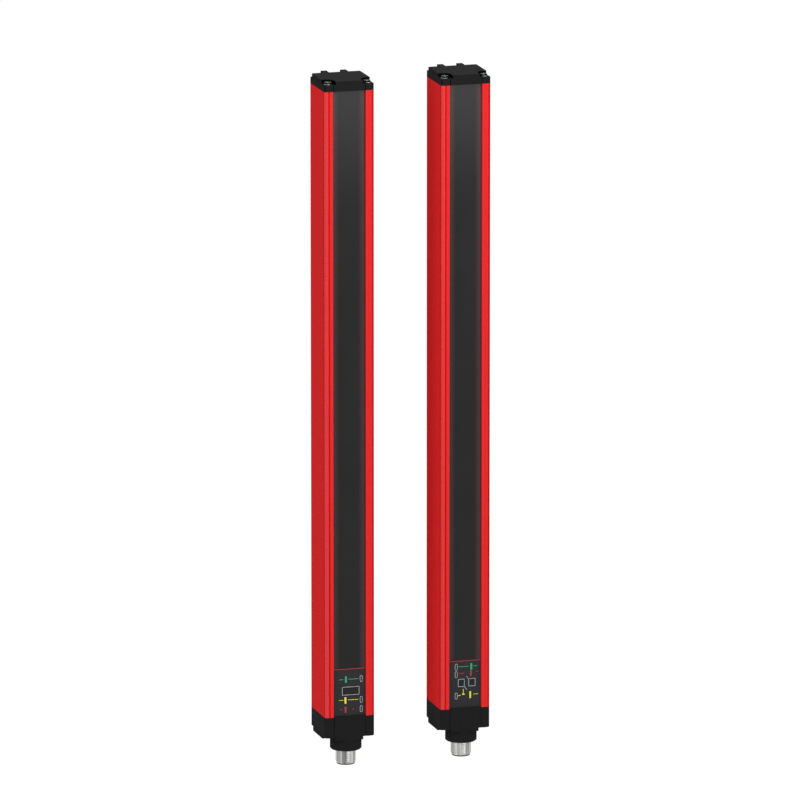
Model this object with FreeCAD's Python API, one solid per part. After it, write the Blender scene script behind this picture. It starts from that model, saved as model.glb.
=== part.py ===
import FreeCAD, Part
import math
import os

# Safety light curtain: a receiver bar and an emitter bar, standing side by side.
#
# The receiver's rear slot holds the origin: x = 0 on its centre line, y = 0 on the
# face of the two rear rails, z = 0 half way up the aluminium housing.
# +Z runs up the bar, +X to the right and +Y backwards, so the windows look to -Y.
# All sizes are millimetres.

V = FreeCAD.Vector
os.makedirs("parts", exist_ok=True)

# ---------------------------------------------------------------------------
# Driving dimensions
# ---------------------------------------------------------------------------

# The whole bar
total_length = 363.5              # from cap to cap, without the connector
top_cap_height = 5.5
bottom_cap_height = 13.2
bar_spacing = 65.1                # from one centre line to the other
housing_width = 28.0
housing_depth = 32.0              # window strips to rear rails

# Extruded housing
front_strip_width = 4.9           # painted strip on each side of the window
front_corner_radius = 2.1
front_groove_width = 0.9          # fine line between the corner and the flat strip
front_groove_depth = 0.3
groove_offset = 0.1               # flat step between the groove and the round corner
recess_edge_radius = 0.3          # rounding where the front strip meets the window
rail_edge_radius = 0.4
wall = 1.8
rear_chamfer = 1.6
chamber_radius = 1.0
rail_height = 3.0                 # rails of the rear slot stand this far off the back
rail_width = 3.2
slot_mouth = 7.6
slot_cavity_width = 13.0
slot_lip = 2.5
slot_depth = 7.6                  # from the rail faces to the floor of the slot
board_rib_width = 1.2
board_rib_thickness = 0.95
screw_from_side = 3.1             # screw port axis from the side of the housing
screw_from_front = 3.9
corner_pocket_radius = 0.6
pocket_corner = 0.72              # bevel of the hollow behind the rear chamfer

# Window
window_recess = 1.8
pane_thickness = 2.0
seal_thickness = 0.4
window_ledge = 1.2                # width of the ledge behind each edge of the pane
ledge_thickness = 2.4
pane_clearance = 0.1              # pane to the sides of its recess
foil_thickness = 0.25
foil_side_gap = 0.4
panel_height = 26.5               # indicator panel, up from the bottom of the housing
foil_end_gap = 0.1

# Optics
beam_pitch = 20.0
first_beam = 33.0                 # first beam above the bottom of the housing
last_beam_room = 10.0             # least room over the last beam
lens_width = 10.2
lens_plate = 1.2
lens_radius = 12.0                # radius of each lens dome
lens_dome_radius = 4.2            # edge of each dome
lens_set_back = 4.8               # lens face behind the front of the housing
carrier_rim_set_back = 4.2
cell_width = 9.2
cell_height = 16.0
carrier_wall = 1.2
carrier_ledge_clearance = 0.3
carrier_shoulder_clearance = 0.6  # carrier to the board ribs, side to side
carrier_start_gap = 1.5           # lower end of the carrier above the panel frame
carrier_top_gap = 4.1             # upper end of the carrier below the housing end
end_pad_thickness = 3.2
end_pad_clearance = 0.4
lens_clearance = 0.1              # lens strip to the sides of its seat
carrier_shoulder_drop = 0.2       # carrier shoulders behind the window ledges

# Circuit boards
main_board_room = 3.0             # space behind the board for its chips
main_board_thickness = 1.6
main_board_side_gap = 0.4
main_board_start = 1.5
board_clearance = 0.15
chip_size = 7.0
chip_thickness = 1.2
chip_count = 4
chip_spring_gap = 7.0             # least room between the last chip and the spring
diode_body = 3.2
diode_thickness = 1.1
diode_lens = 2.2                  # side of the raised lens on each diode
diode_lens_height = 0.9
diode_lens_bevel = 0.45
panel_board_side_gap = 0.2
panel_board_thickness = 1.2
panel_board_set_back = 9.4
header_width = 10.0
header_height = 5.0
header_from_bottom = 2.0
display_thickness = 3.4
light_thickness = 0.8
spring_thickness = 0.3
spring_width = 4.0
spring_span = 11.0
spring_from_top = 30.0
spring_foot = 0.45                # height of the spring's two feet on the board
spring_inner_radius = 1.0

# Indicator panel openings
pill_width = 0.9
pill_height = 3.1
pill_from_edge = 2.4              # receiver's pills from the edge of the window opening
inner_pill_from_edge = 4.3        # emitter's pills, which stand farther in
receiver_row_drop = 6.0           # receiver's upper pill below the top of the panel
emitter_row_drop = 3.5            # emitter's upper pill below the top of the panel
emitter_row_pitch = 4.2           # down to its second pill
display_row = 14.0                # displays, up from the bottom of the housing
display_from_edge = 8.3           # receiver's display centre from the edge of the opening
first_display_from_edge = 7.2     # emitter's displays, each from its own edge
second_display_from_edge = 5.0
frame_line = 0.5                  # a display opening is this much larger than its face
pill_shaft_side = 0.3             # room round a light guide in the panel frame
pill_shaft_end = 0.1
guide_end_gap = 0.1               # light guide shorter than its window at each end
light_height = 2.4

# Caps
cap_step = 3.4                    # height of the top cap's lower level
bottom_cap_step = 10.2            # depth of the bottom cap's full outline
cap_level_side_inset = 0.5
cap_level_rear = 5.5              # rear edge of the inset level, in front of the rails
cap_level_radius = 0.5            # its rear corners
notch_radius = 3.75               # clearance round each cap screw
notch_shift = 0.3                 # the corner cut is this far off the screw axis
notch_floor = 2.0                 # bridge of cap under the top cap's screw heads
notch_wall_height = 3.3           # outer wall round the top cap's screw heads
bottom_notch_wall = 11.4          # outer wall round the bottom cap's screw heads
bottom_notch_floor = 10.0
pocket_radius = 2.9
cap_line_width = 0.5              # grooves that carry the window edges down the cap
cap_line_depth = 0.4
cap_wall = 2.2
boss_wall = 0.4                   # bottom cap's wall round each screw pocket
cavity_rear_margin = 0.4          # its hollow ends this far in front of the chamber's back
cap_floor = 2.0
tongue_length = 2.8
tongue_thickness = 1.3
tongue_clearance = 0.2
rear_tongue_width = 7.2
rear_tongue_thickness = 0.9
gasket_thickness = 0.5
gasket_inset = 0.7
gasket_clearance = 0.1

# Screws
screw_radius = 1.0
screw_clearance = 0.3
screw_head_radius = 2.2
screw_head_height = 2.1
screw_head_bevel = 0.63
screw_grip = 8.0                  # length of thread in the housing
socket_width = 2.4
socket_slot = 0.7
socket_depth = 1.0

# Connector
collar_radius = 8.6
collar_length = 6.35              # below the bottom cap
collar_edge = 0.6                 # bevel round the lower rim of the collar
collar_floor = 1.8
collar_wall = 1.3
connector_set_back = 0.1          # collar behind the front of the bar
thread_radius = 6.0
thread_length = 6.6
shell_neck_radius = 5.7           # plain neck of the shell inside the collar
shell_tip_radius = 5.2
shell_tip_length = 1.75
shell_bore_radius = 4.4
shell_flange_radius = 7.0
shell_flange_thickness = 1.6
shell_clearance = 0.3
o_ring_section = 0.9              # thickness of the sealing ring under the flange
lock_nut_thickness = 2.2
lock_nut_bore_radius = 5.0
insert_height = 9.0
insert_recess = 7.0               # open depth of the connector mouth
insert_key_width = 1.6
insert_key_depth = 0.9
pin_reach = 5.5                   # pins stand this far out of the insert
small_pattern = 5                 # most pins that the pattern with the thicker pins takes
small_pattern_circle = 2.9
small_pattern_pin = 0.5           # pin radius
large_pattern_circle = 3.1
large_pattern_pin = 0.4
first_pin_angle = 45.0            # degrees from the right, seen from above
leads_board_gap = 0.3             # under the small board, above the cap's floor
leads_board_thickness = 1.2
leads_board_side_gap = 0.6
leads_board_depth = 11.0
cable_width = 8.0
cable_thickness = 0.3
cable_bend = 1.5
cable_start = 3.0                 # start of the cable, in from the small board's rear edge
cable_end = 2.0                   # it reaches this far up the main board

# Geometry
match_distance = 0.01             # edges this close to a height count as lying on it

# ---------------------------------------------------------------------------
# Derived positions
# ---------------------------------------------------------------------------

housing_length = total_length - top_cap_height - bottom_cap_height
bottom = -housing_length / 2
top = housing_length / 2
front = -housing_depth
half_width = housing_width / 2
opening = half_width - front_strip_width            # half the window opening
back = -rail_height                                 # rear face beside the rails
slot_floor = -slot_depth
chamber_back = slot_floor - wall
chamber_side = half_width - wall
ledge_inner = opening - window_ledge
pane_front = front + window_recess
pane_back = pane_front + pane_thickness
ledge_front = pane_back + seal_thickness
ledge_back = ledge_front + ledge_thickness
port_radius = screw_radius + screw_clearance
screw_x = half_width - screw_from_side
screw_y = front + screw_from_front
board_back = chamber_back - main_board_room
board_front = board_back - main_board_thickness
rib_front = board_front - board_clearance
rib_back = board_back + board_clearance
rib_edge = chamber_side - board_rib_width
lens_front = front + lens_set_back
lens_back = lens_front + lens_plate
carrier_front = front + carrier_rim_set_back
carrier_half = ledge_inner - carrier_ledge_clearance
carrier_bottom = bottom + panel_height + carrier_start_gap
carrier_top = top - carrier_top_gap
panel_board_front = front + panel_board_set_back
panel_board_back = panel_board_front + panel_board_thickness
connector_y = front + collar_radius + connector_set_back
notch_x = screw_x - notch_radius + notch_shift
notch_y = screw_y + notch_radius
boss_side = screw_x - pocket_radius - boss_wall
boss_back = screw_y + pocket_radius + boss_wall
level_rear = -cap_level_rear
beam_span = housing_length - first_beam - last_beam_room
beam_count = int(beam_span / beam_pitch) + 1
cap_bottom = bottom - bottom_cap_height
collar_bottom = cap_bottom - collar_length
collar_bore_radius = collar_radius - collar_wall
seat_z = collar_bottom + collar_floor               # inside floor of the collar
flange_z = seat_z + o_ring_section                  # underside of the shell flange
shell_tip_z = collar_bottom - thread_length - shell_tip_length
insert_bottom = shell_tip_z + insert_recess
insert_top = insert_bottom + insert_height
leads_board_z = cap_bottom + cap_floor + leads_board_gap

pill_x = opening - pill_from_edge
inner_pill_x = opening - inner_pill_from_edge
receiver_row = panel_height - receiver_row_drop
emitter_row = panel_height - emitter_row_drop
display_x = opening - display_from_edge
first_display_x = first_display_from_edge - opening
second_display_x = opening - second_display_from_edge

# Each panel: pill windows (x, height), display openings (x, height, width, height)
panels = {
    "receiver": {
        "pills": ((pill_x, receiver_row), (pill_x, 8.8), (pill_x, 3.6)),
        "displays": ((display_x, display_row, 9.1, 4.1),),
        "pins": 8,
    },
    "emitter": {
        "pills": ((-inner_pill_x, emitter_row), (-inner_pill_x, emitter_row - emitter_row_pitch),
                  (-inner_pill_x, 6.8)),
        "displays": ((first_display_x, display_row, 3.1, 3.8),
                     (second_display_x, display_row, 3.3, 3.8)),
        "pins": 5,
    },
}


# ---------------------------------------------------------------------------
# Shape helpers
# ---------------------------------------------------------------------------

def box(x0, x1, y0, y1, z0, z1):
    """A block between two opposite corners."""
    size = (x1 - x0, y1 - y0, z1 - z0)
    return Part.makeBox(size[0], size[1], size[2], V(x0, y0, z0))


def centred_box(x, z, width, height, y0, y1):
    """A block centred on (x, z), seen from the front."""
    return box(x - width / 2, x + width / 2, y0, y1, z - height / 2, z + height / 2)


def rod(radius, x, y, z0, z1):
    """A round bar along Z."""
    return Part.makeCylinder(radius, z1 - z0, V(x, y, z0))


def outline(corners):
    """A flat face at z = 0 from corners (x, y, radius); radius 0 leaves one sharp."""
    count = len(corners)
    entries = []
    for index in range(count):
        x, y, radius = corners[index]
        here = V(x, y, 0)
        if radius <= 0:
            entries.append((here, None, here))
            continue
        last = corners[index - 1]
        following = corners[(index + 1) % count]
        back_way = (V(last[0], last[1], 0) - here).normalize()
        on_way = (V(following[0], following[1], 0) - here).normalize()
        half_angle = back_way.getAngle(on_way) / 2
        reach = radius / math.tan(half_angle)
        middle_way = (back_way + on_way).normalize()
        middle = here + middle_way * (radius / math.sin(half_angle) - radius)
        entries.append((here + back_way * reach, middle, here + on_way * reach))
    edges = []
    for index in range(count):
        start, middle, end = entries[index]
        if middle is not None:
            edges.append(Part.Arc(start, middle, end).toShape())
        next_start = entries[(index + 1) % count][0]
        if end.distanceToPoint(next_start) > 1e-6:
            edges.append(Part.LineSegment(end, next_start).toShape())
    return Part.Face(Part.Wire(edges))


def mirrored(half):
    """Corners for the right half, followed by their mirror images in reverse order."""
    return list(half) + [(-x, y, radius) for x, y, radius in reversed(half)]


def upright(face, z0, z1):
    """Extrude a face at z = 0 into a prism between two heights."""
    solid = face.extrude(V(0, 0, z1 - z0))
    solid.translate(V(0, 0, z0))
    return solid


def sideways(face, x0, x1):
    """Extrude a face drawn in (y, z) into a prism between two x positions."""
    turned = face.copy()
    turned.rotate(V(0, 0, 0), V(0, 0, 1), 90)
    turned.rotate(V(0, 0, 0), V(0, 1, 0), 90)
    turned.translate(V(x0, 0, 0))
    return turned.extrude(V(x1 - x0, 0, 0))


def both_sides(shape):
    """A shape and its mirror image in the middle plane of the bar."""
    return [shape, shape.mirror(V(0, 0, 0), V(1, 0, 0))]


def pill(x, z, width, height, y0, y1):
    """An upright slot shape with round ends, from depth y0 to y1."""
    radius = width / 2
    straight = centred_box(x, z, width, height - width, y0, y1)
    ends = []
    for side in (-1, 1):
        centre = V(x, y0, z + side * (height / 2 - radius))
        ends.append(Part.makeCylinder(radius, y1 - y0, centre, V(0, 1, 0)))
    return straight.fuse(ends).removeSplitter()


def body_outline(inset=0.0):
    """The housing's outline without the rear rails, drawn in by an inset."""
    side = half_width - inset
    chamfer = rear_chamfer
    half = [
        (side, front + inset, front_corner_radius - inset),
        (side, back - inset - chamfer, 0),
        (side - chamfer, back - inset, 0),
    ]
    return outline(mirrored(half))


def rails(z0, z1, y_start):
    """The two rails of the rear slot between two heights."""
    edge = slot_mouth / 2
    return both_sides(box(edge, edge + rail_width, y_start, 0, z0, z1))


def screw_holes(radius, z0, z1):
    """Two round bars on the screw axes."""
    return both_sides(rod(radius, screw_x, screw_y, z0, z1))


# ---------------------------------------------------------------------------
# Housing: one extruded section
# ---------------------------------------------------------------------------

def make_housing():
    """The painted aluminium extrusion with the window recess and the rear slot."""
    mouth = slot_mouth / 2
    cavity = slot_cavity_width / 2
    rail_edge = mouth + rail_width
    groove_x = half_width - front_corner_radius - groove_offset
    outer_half = [
        (opening, front, recess_edge_radius),
        (groove_x - front_groove_width, front, 0),
        (groove_x - front_groove_width / 2, front + front_groove_depth, 0),
        (groove_x, front, 0),
        (half_width, front, front_corner_radius),
        (half_width, back - rear_chamfer, 0),
        (half_width - rear_chamfer, back, 0),
        (rail_edge, back, 0),
        (rail_edge, 0, rail_edge_radius),
        (mouth, 0, rail_edge_radius),
        (mouth, -slot_lip, 0),
        (cavity, -slot_lip, 0),
        (cavity, slot_floor, 0),
    ]
    left_half = [(-x, y, radius) for x, y, radius in reversed(outer_half)]
    recess_half = [(opening, ledge_front, 0)]
    recess_left = [(-opening, ledge_front, 0)]
    section = outline(recess_half + outer_half + left_half + recess_left)
    chamber_half = [
        (ledge_inner, pane_back, 0),
        (ledge_inner, ledge_back, 0),
        (chamber_side, ledge_back, chamber_radius),
        (chamber_side, rib_front - board_rib_thickness, 0),
        (rib_edge, rib_front - board_rib_thickness, 0),
        (rib_edge, rib_front, 0),
        (chamber_side, rib_front, 0),
        (chamber_side, rib_back, 0),
        (rib_edge, rib_back, 0),
        (rib_edge, rib_back + board_rib_thickness, 0),
        (chamber_side, rib_back + board_rib_thickness, 0),
        (chamber_side, chamber_back, chamber_radius),
    ]
    pocket_inner = cavity + wall
    pocket_front = chamber_back + wall
    pocket_back = back - wall
    corner_pocket = outline([
        (pocket_inner, pocket_front, corner_pocket_radius),
        (chamber_side, pocket_front, corner_pocket_radius),
        (chamber_side, pocket_back - pocket_corner, 0),
        (chamber_side - pocket_corner, pocket_back, 0),
        (pocket_inner, pocket_back, corner_pocket_radius),
    ])
    port = Part.Face(Part.Wire(Part.makeCircle(port_radius, V(screw_x, screw_y, 0))))
    cuts = [outline(mirrored(chamber_half))] + both_sides(corner_pocket) + both_sides(port)
    section = section.cut(cuts)
    return upright(section, bottom, top)


# ---------------------------------------------------------------------------
# Window, seals and indicator foil
# ---------------------------------------------------------------------------

def make_pane():
    """The smoked front window, the full length of the housing."""
    edge = opening - pane_clearance
    return box(-edge, edge, pane_front, pane_back, bottom, top)


def make_window_seals():
    """Two strips of sealing tape between the pane and the ledges."""
    strip = box(ledge_inner, opening - pane_clearance, pane_back, ledge_front, bottom, top)
    return both_sides(strip)


def make_foil(panel):
    """Printed foil on the lower end of the window, open over lights and displays."""
    edge = opening - foil_side_gap
    y0 = pane_front - foil_thickness
    foil = box(-edge, edge, y0, pane_front, bottom + foil_end_gap, bottom + panel_height)
    cuts = []
    for x, height in panel["pills"]:
        cuts.append(pill(x, bottom + height, pill_width, pill_height, y0, pane_front))
    for x, height, wide, tall in panel["displays"]:
        cuts.append(centred_box(x, bottom + height, wide, tall, y0, pane_front))
    return foil.cut(cuts)


# ---------------------------------------------------------------------------
# Optics
# ---------------------------------------------------------------------------

def beam_heights():
    """Heights of the beams."""
    return [bottom + first_beam + beam_pitch * index for index in range(beam_count)]


def make_carrier():
    """Black carrier: a long frame with one cell for each beam and a lens seat."""
    seat = lens_width / 2 + lens_clearance
    shoulder = rib_edge - carrier_shoulder_clearance
    shoulder_front = ledge_back + carrier_shoulder_drop
    inner = cell_width / 2 + carrier_wall
    ceiling = shoulder_front + carrier_wall
    half = [
        (seat, lens_back, 0),
        (seat, carrier_front, 0),
        (carrier_half, carrier_front, 0),
        (carrier_half, shoulder_front, 0),
        (shoulder, shoulder_front, 0),
        (shoulder, board_front, 0),
        (shoulder - carrier_wall, board_front, 0),
        (shoulder - carrier_wall, ceiling, 0),
        (inner, ceiling, 0),
        (inner, board_front, 0),
    ]
    carrier = upright(outline(mirrored(half)), carrier_bottom, carrier_top)
    cells = []
    for z in beam_heights():
        cells.append(centred_box(0, z, cell_width, cell_height, lens_back, board_front))
    return carrier.cut(cells)


def make_lens_strip():
    """Clear strip with a dome behind it for each beam."""
    half = lens_width / 2
    plate = box(-half, half, lens_front, lens_back, carrier_bottom, carrier_top)
    rise = math.sqrt(lens_radius ** 2 - lens_dome_radius ** 2)
    domes = []
    for z in beam_heights():
        ball = Part.makeSphere(lens_radius, V(0, lens_back - rise, z))
        keep = centred_box(0, z, 2 * lens_radius, 2 * lens_radius, lens_back, lens_back + lens_radius)
        domes.append(ball.common(keep))
    return plate.fuse(domes)


def make_diodes():
    """One light diode on the main board behind each lens."""
    diodes = []
    for z in beam_heights():
        y0 = board_front - diode_thickness
        base = centred_box(0, z, diode_body, diode_body, y0, board_front)
        lens = centred_box(0, z, diode_lens, diode_lens, y0 - diode_lens_height, y0)
        lens_face = y0 - diode_lens_height
        rim = [edge for edge in lens.Edges if edge.BoundBox.YMax < lens_face + match_distance]
        lens = lens.makeChamfer(diode_lens_bevel, rim)
        diodes.append(base.fuse(lens))
    return diodes


def make_end_pad():
    """Foam pad that presses on the upper end of the optics."""
    return box(-carrier_half, carrier_half, ledge_back + end_pad_clearance,
               board_front - end_pad_clearance, carrier_top, carrier_top + end_pad_thickness)


# ---------------------------------------------------------------------------
# Circuit boards
# ---------------------------------------------------------------------------

def make_main_board():
    """The long circuit board that slides in the ribs of the housing."""
    half = chamber_side - main_board_side_gap
    return box(-half, half, board_front, board_back, bottom + main_board_start, carrier_top)


def make_chips():
    """Control chips on the back of the main board."""
    chips = []
    chip_room = housing_length - spring_from_top - spring_span / 2 - chip_spring_gap
    spacing = chip_room / chip_count
    for index in range(chip_count):
        z = bottom + spacing * (index + 0.5)
        chips.append(centred_box(0, z, chip_size, chip_size, board_back, board_back + chip_thickness))
    return chips


def make_earth_spring():
    """Arched steel strip between the back of the board and the housing."""
    z = top - spring_from_top
    rise = chamber_back - board_back
    half = spring_span / 2
    arch = [
        (board_back, z - half, 0),
        (chamber_back, z - half + rise, rise / 2),
        (chamber_back, z + half - rise, rise / 2),
        (board_back, z + half, 0),
        (board_back, z + half - spring_foot, 0),
        (chamber_back - spring_thickness, z + half - rise - spring_thickness, spring_inner_radius),
        (chamber_back - spring_thickness, z - half + rise + spring_thickness, spring_inner_radius),
        (board_back, z - half + spring_foot, 0),
    ]
    return sideways(outline(arch), -spring_width / 2, spring_width / 2)


def make_panel_board():
    """Small board that carries the displays and the status lights."""
    half = carrier_half - panel_board_side_gap
    return box(-half, half, panel_board_front, panel_board_back,
               bottom + main_board_start, bottom + panel_height)


def make_header():
    """Pin header from the small board to the main board."""
    z0 = bottom + main_board_start + header_from_bottom
    return box(-header_width / 2, header_width / 2, panel_board_back, board_front,
               z0, z0 + header_height)


def make_panel_frame(panel):
    """Black frame behind the foil with a shaft for each light and display."""
    half = carrier_half
    y0 = carrier_front
    frame = box(-half, half, y0, panel_board_front, bottom + main_board_start,
                bottom + panel_height)
    cuts = []
    for x, height in panel["pills"]:
        wide = pill_width + 2 * pill_shaft_side
        tall = pill_height + 2 * pill_shaft_end
        cuts.append(centred_box(x, bottom + height, wide, tall, y0, panel_board_front))
    for x, height, wide, tall in panel["displays"]:
        cuts.append(centred_box(x, bottom + height, wide + frame_line, tall + frame_line,
                                y0, panel_board_front))
    return frame.cut(cuts)


def make_light_guides(panel):
    """Clear blocks that carry each status light to its window in the foil."""
    guides = []
    for x, height in panel["pills"]:
        guides.append(pill(x, bottom + height, pill_width, pill_height - 2 * guide_end_gap,
                           carrier_front, panel_board_front - light_thickness))
    return guides


def make_status_lights(panel):
    """Small light emitting diodes behind the light guides."""
    lights = []
    for x, height in panel["pills"]:
        lights.append(centred_box(x, bottom + height, pill_width, light_height,
                                  panel_board_front - light_thickness, panel_board_front))
    return lights


def make_displays(panel):
    """Digit display blocks behind their openings."""
    blocks = []
    for x, height, wide, tall in panel["displays"]:
        blocks.append(centred_box(x, bottom + height, wide, tall,
                                  panel_board_front - display_thickness, panel_board_front))
    return blocks


# ---------------------------------------------------------------------------
# Caps, gaskets and screws
# ---------------------------------------------------------------------------

def level_outline():
    """The inset level that stands on each cap, with the corners cut for the screws."""
    side = half_width - cap_level_side_inset
    half = [
        (notch_x, front, 0),
        (notch_x, notch_y, notch_radius),
        (side, notch_y, 0),
        (side, level_rear, cap_level_radius),
    ]
    return outline(mirrored(half))


def cap_lines(z0, z1):
    """Two fine grooves down the front of a cap, in line with the window edges."""
    line = box(opening - cap_line_width, opening, front, front + cap_line_depth, z0, z1)
    return both_sides(line)


def gasket_outline(inset):
    """The outer edge of an end gasket; it stops in front of the rear slot."""
    side = half_width - inset
    half = [
        (side, front + inset, front_corner_radius - inset),
        (side, slot_floor - inset / 2, 0),
    ]
    return outline(mirrored(half))


def gasket_face():
    """The face of an end gasket, open over the chamber and the screws."""
    half = [(chamber_side, ledge_back, 0), (chamber_side, chamber_back, 0)]
    holes = []
    for x in (-screw_x, screw_x):
        circle = Part.makeCircle(port_radius, V(x, screw_y, 0))
        holes.append(Part.Face(Part.Wire(circle)))
    return gasket_outline(gasket_inset).cut([outline(mirrored(half))] + holes)


def gasket_seat():
    """The recess in a cap that holds the gasket."""
    return gasket_outline(gasket_inset - gasket_clearance)


def tongues(z0, z1):
    """Tongues of a cap that locate it in the chamber."""
    outer = chamber_side - tongue_clearance
    inner = outer - tongue_thickness
    y0 = ledge_back + chamber_radius
    y1 = rib_front - board_rib_thickness - tongue_clearance
    side = box(inner, outer, y0, y1, z0, z1)
    rear_y = chamber_back - tongue_clearance
    half = rear_tongue_width / 2
    rear_block = box(-half, half, rear_y - rear_tongue_thickness, rear_y, z0, z1)
    return both_sides(side) + [rear_block]


def slot_gap(z0, z1):
    """The mouth of the rear slot where it runs on into a cap."""
    return box(-slot_mouth / 2, slot_mouth / 2, level_rear, 0, z0, z1)


def make_top_cap():
    """Moulded top cap with two levels, two screw corners and two rear tabs."""
    step = top + cap_step
    cap_top = top + top_cap_height
    cap = upright(body_outline(), top, step)
    cap = cap.fuse([upright(level_outline(), top, cap_top)])
    cap = cap.fuse(rails(top, cap_top, level_rear - wall))
    cuts = [slot_gap(top, cap_top)]
    cuts.append(upright(gasket_seat(), top, top + gasket_thickness))
    cuts.extend(screw_holes(port_radius, top, cap_top))
    cuts.extend(screw_holes(pocket_radius, top + notch_floor, cap_top))
    cuts.extend(both_sides(box(notch_x, half_width, front, notch_y,
                               top + notch_wall_height, top + cap_step)))
    cuts.extend(cap_lines(top, cap_top))
    cap = cap.cut(cuts)
    return cap.fuse(tongues(top - tongue_length, top + gasket_thickness)).removeSplitter()


def make_bottom_cap():
    """Moulded bottom cap with the collar that carries the connector."""
    step = bottom - bottom_cap_step
    cap = upright(body_outline(), step, bottom)
    cap = cap.fuse([upright(level_outline(), cap_bottom, bottom)])
    cap = cap.fuse(rails(step, bottom, level_rear - wall))
    corner = box(notch_x, half_width, front, notch_y, bottom - bottom_notch_wall, step)
    corner_shape = upright(body_outline(), bottom - bottom_notch_wall, step)
    cap = cap.fuse([corner_shape.common(part) for part in both_sides(corner)])
    collar = rod(collar_radius, 0, connector_y, collar_bottom, cap_bottom + cap_floor)
    rim = [edge for edge in collar.Edges
           if abs(edge.BoundBox.ZMax - collar_bottom) < match_distance]
    collar = collar.makeChamfer(collar_edge, rim)
    cap = cap.fuse(collar)
    inner_side = half_width - cap_wall
    inner_front = connector_y - collar_bore_radius
    cavity_half = [
        (boss_side, inner_front, 0),
        (boss_side, boss_back, 0),
        (inner_side, boss_back, chamber_radius),
        (inner_side, chamber_back - cavity_rear_margin, chamber_radius),
    ]
    floor_z = cap_bottom + cap_floor
    cuts = [upright(outline(mirrored(cavity_half)), floor_z, bottom)]
    cuts.append(rod(collar_bore_radius, 0, connector_y, seat_z, bottom))
    cuts.append(rod(thread_radius + shell_clearance, 0, connector_y, collar_bottom, seat_z))
    cuts.append(slot_gap(cap_bottom, bottom))
    cuts.append(upright(gasket_seat(), bottom - gasket_thickness, bottom))
    cuts.extend(screw_holes(port_radius, collar_bottom, bottom))
    cuts.extend(screw_holes(pocket_radius, collar_bottom, bottom - bottom_notch_floor))
    cuts.extend(cap_lines(cap_bottom, bottom))
    cap = cap.cut(cuts)
    lugs = tongues(floor_z, bottom + tongue_length)
    return cap.fuse(lugs).removeSplitter()


def make_gasket(z0):
    """Flat gasket between a cap and the end of the housing."""
    return upright(gasket_face(), z0, z0 + gasket_thickness)


def screw(x, seat, tip, up):
    """Pan head screw from its seat to its tip; up is 1 where the head is on top."""
    head_end = seat + up * screw_head_height
    head = rod(screw_head_radius, x, screw_y, min(seat, head_end), max(seat, head_end))
    head_rim = [edge for edge in head.Edges
                if abs(edge.BoundBox.ZMax - head_end) < match_distance
                and abs(edge.BoundBox.ZMin - head_end) < match_distance]
    head = head.makeChamfer(screw_head_bevel, head_rim)
    shank = rod(screw_radius, x, screw_y, min(seat, tip), max(seat, tip))
    z0 = min(head_end, head_end - up * socket_depth)
    z1 = max(head_end, head_end - up * socket_depth)
    half = socket_width / 2
    thin = socket_slot / 2
    cross = box(x - half, x + half, screw_y - thin, screw_y + thin, z0, z1)
    cross = cross.fuse(box(x - thin, x + thin, screw_y - half, screw_y + half, z0, z1))
    return head.fuse(shank).cut(cross)


def make_top_screws():
    """Two screws through the top cap."""
    return [screw(x, top + notch_floor, top - screw_grip, 1) for x in (-screw_x, screw_x)]


def make_bottom_screws():
    """Two longer screws through the bottom cap."""
    seat = bottom - bottom_notch_floor
    return [screw(x, seat, bottom + screw_grip, -1) for x in (-screw_x, screw_x)]


# ---------------------------------------------------------------------------
# Connector
# ---------------------------------------------------------------------------

def make_connector_shell():
    """Metal connector shell with its thread to the outside and its flange inside."""
    thread_end = collar_bottom - thread_length
    shell = rod(thread_radius, 0, connector_y, thread_end, collar_bottom)
    tip = rod(shell_tip_radius, 0, connector_y, shell_tip_z, thread_end)
    neck = rod(shell_neck_radius, 0, connector_y, collar_bottom, flange_z)
    flange = rod(shell_flange_radius, 0, connector_y, flange_z, flange_z + shell_flange_thickness)
    shell = shell.fuse([tip, neck, flange])
    bore = rod(shell_bore_radius, 0, connector_y, shell_tip_z, flange_z + shell_flange_thickness)
    return shell.cut(bore)


def make_o_ring():
    """Sealing ring between the shell's flange and the floor of the collar."""
    outer = rod(shell_flange_radius, 0, connector_y, seat_z, flange_z)
    hole = rod(thread_radius + shell_clearance, 0, connector_y, seat_z, flange_z)
    return outer.cut(hole)


def make_lock_nut():
    """Hexagonal nut that holds the shell's flange down in the collar."""
    z0 = flange_z + shell_flange_thickness
    corners = []
    for index in range(6):
        angle = math.radians(60 * index)
        corners.append((shell_flange_radius * math.cos(angle),
                        connector_y + shell_flange_radius * math.sin(angle), 0))
    nut = upright(outline(corners), z0, z0 + lock_nut_thickness)
    return nut.cut(rod(lock_nut_bore_radius, 0, connector_y, z0, z0 + lock_nut_thickness))


def pin_places(count):
    """Pin positions: all but one on a circle and the last on the axis."""
    circle = large_pattern_circle if count > small_pattern else small_pattern_circle
    ring_count = count - 1
    places = [(0.0, connector_y)]
    for index in range(ring_count):
        angle = math.radians(first_pin_angle + 360 * index / ring_count)
        places.append((circle * math.cos(angle), connector_y + circle * math.sin(angle)))
    return places


def pin_radius(count):
    """Contact radius for the size of pattern."""
    return large_pattern_pin if count > small_pattern else small_pattern_pin


def make_insert(panel):
    """Moulded insert that holds the pins, with its coding key."""
    radius = shell_bore_radius
    insert = rod(radius, 0, connector_y, insert_bottom, insert_top)
    key = box(-insert_key_width / 2, insert_key_width / 2, connector_y - radius,
              connector_y - radius + insert_key_depth, insert_bottom - pin_reach, insert_bottom)
    guard = rod(radius, 0, connector_y, insert_bottom - pin_reach, insert_bottom)
    insert = insert.fuse(key.common(guard))
    count = panel["pins"]
    holes = []
    for x, y in pin_places(count):
        holes.append(rod(pin_radius(count), x, y, insert_bottom, insert_top))
    return insert.cut(holes)


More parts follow.
